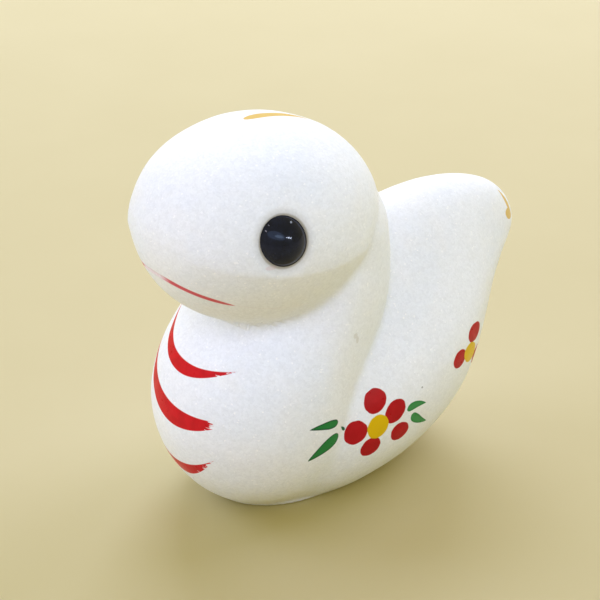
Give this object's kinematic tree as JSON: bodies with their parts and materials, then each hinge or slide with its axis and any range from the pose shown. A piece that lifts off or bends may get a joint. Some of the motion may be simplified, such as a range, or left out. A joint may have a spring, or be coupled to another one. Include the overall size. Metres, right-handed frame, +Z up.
{
  "type": "carved stone snake",
  "caption": "Small white stone snake with a rounded raised head, full breast and blunt tail, black bead eyes, on a flat sawn foot.",
  "frame": {"origin": "under the middle of the whole length, on the flat underside of the foot", "axes": "+Z up, the head towards -Y and the tail towards +Y, the snake's left side towards +X"},
  "size_m": [0.036, 0.0686, 0.0588],
  "materials": {
    "stone": "smoothly ground white crystalline stone, hand painted",
    "eye_bead": "polished black"
  },
  "bodies": {
    "root": {"stone_body": "stone", "left_eye": "eye_bead", "right_eye": "eye_bead"}
  },
  "joints": []
}
